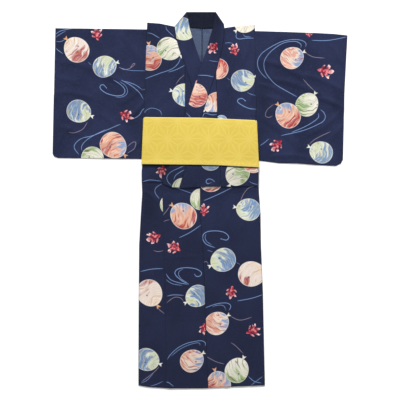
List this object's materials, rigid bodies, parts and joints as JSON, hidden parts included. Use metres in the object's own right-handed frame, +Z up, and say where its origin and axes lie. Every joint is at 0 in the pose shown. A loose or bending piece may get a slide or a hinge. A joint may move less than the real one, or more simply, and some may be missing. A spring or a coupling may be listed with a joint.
{
  "type": "cotton yukata robe",
  "caption": "Cotton yukata robe laid flat with the arms out, left front over right, tucked at the waist under a yellow belt.",
  "frame": {"origin": "centre of the robe's plan, on the surface it lies on", "axes": "+Y from hem to collar, +Z up from the surface, +X towards the wearer's left"},
  "size_m": [1.1202, 1.4294, 0.017],
  "materials": {
    "printed_cotton": "matt navy cotton with a printed pattern",
    "collar_cotton": "matt navy cotton, plain inside",
    "belt_weave": "yellow figured weave, slight sheen"
  },
  "bodies": {
    "root": {"body_left": "printed_cotton", "body_right": "printed_cotton", "okumi_left": "printed_cotton", "okumi_right": "printed_cotton", "collar_left": "printed_cotton", "collar_right": "printed_cotton", "collar_back": "collar_cotton", "sleeve_left": "printed_cotton", "sleeve_right": "printed_cotton", "obi": "belt_weave"}
  },
  "joints": []
}
